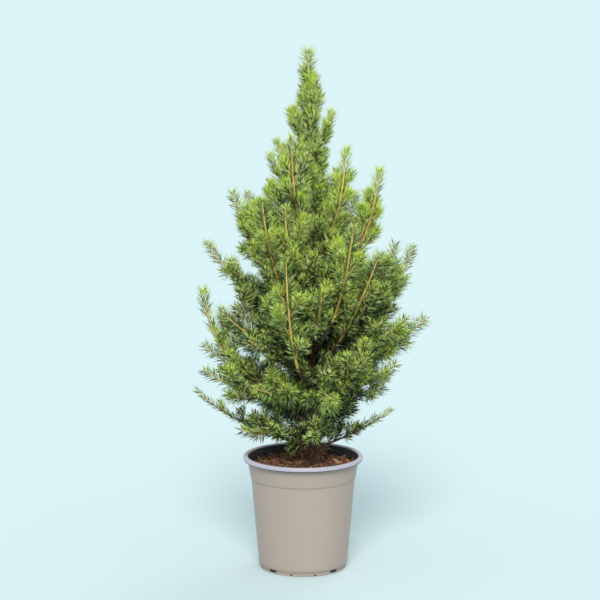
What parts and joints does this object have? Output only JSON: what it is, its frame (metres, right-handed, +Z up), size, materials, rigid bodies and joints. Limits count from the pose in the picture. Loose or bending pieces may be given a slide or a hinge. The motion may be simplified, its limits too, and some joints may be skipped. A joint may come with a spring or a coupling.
{
  "type": "potted spruce tree",
  "caption": "Young conical dwarf spruce with upswept needled boughs, growing in a round tapered plastic nursery pot filled with bark compost.",
  "frame": {"origin": "middle of the flat underside of the pot", "axes": "+Z up along the pot's axis; the side shown in the picture faces -Y, with +X on its right"},
  "size_m": [0.2594, 0.2142, 0.568],
  "materials": {
    "pot": "smooth satin taupe polypropylene with a lighter rolled rim",
    "soil": "moist reddish-brown bark compost",
    "bark": "scaly brown bark, tan on the young wood",
    "needles": "slightly waxy needles, yellow-green on the fresh tips and dark green inside"
  },
  "bodies": {
    "root": {"back_high_left_needles": "needles", "back_high_needles": "needles", "back_low_left_needles": "needles", "back_low_needles": "needles", "back_low_right_needles": "needles", "back_mid_left_needles": "needles", "back_mid_needles": "needles", "back_mid_right_needles": "needles", "back_spire_needles": "needles", "front_arch_needles": "needles", "front_centre_needles": "needles", "front_left_bough": "bark", "front_left_low_needles": "needles", "front_left_mid_needles": "needles", "front_left_needles": "needles", "front_left_slim_needles": "needles", "front_low_needles": "needles", "front_right_bough": "bark", "front_right_mid_needles": "needles", "front_right_needles": "needles", "front_spray_needles": "needles", "leader_needles": "needles", "left_bright_needles": "needles", "left_curve_bough": "bark", "left_curve_needles": "needles", "left_dense_needles": "needles", "left_full_needles": "needles", "left_high_back_needles": "needles", "left_high_needles": "needles", "left_inner_needles": "needles", "left_mid_bough": "bark", "left_mid_needles": "needles", "left_skirt_needles": "needles", "low_left_bough": "bark", "low_left_needles": "needles", "low_right_needles": "needles", "pot": "pot", "right_dark_needles": "needles", "right_dense_needles": "needles", "right_full_needles": "needles", "right_long_bough": "bark", "right_long_needles": "needles", "right_low_needles": "needles", "right_outer_bough": "bark", "right_outer_needles": "needles", "right_slant_bough": "bark", "right_slant_needles": "needles", "right_spire_needles": "needles", "right_tall_needles": "needles", "right_upper_needles": "needles", "soil": "soil", "trunk": "bark", "upper_left_a_needles": "needles", "upper_left_b_needles": "needles", "upper_left_c_needles": "needles", "upper_left_d_needles": "needles", "upper_right_a_needles": "needles", "upper_right_b_needles": "needles", "upper_right_c_needles": "needles", "upright_left_needles": "needles"}
  },
  "joints": []
}
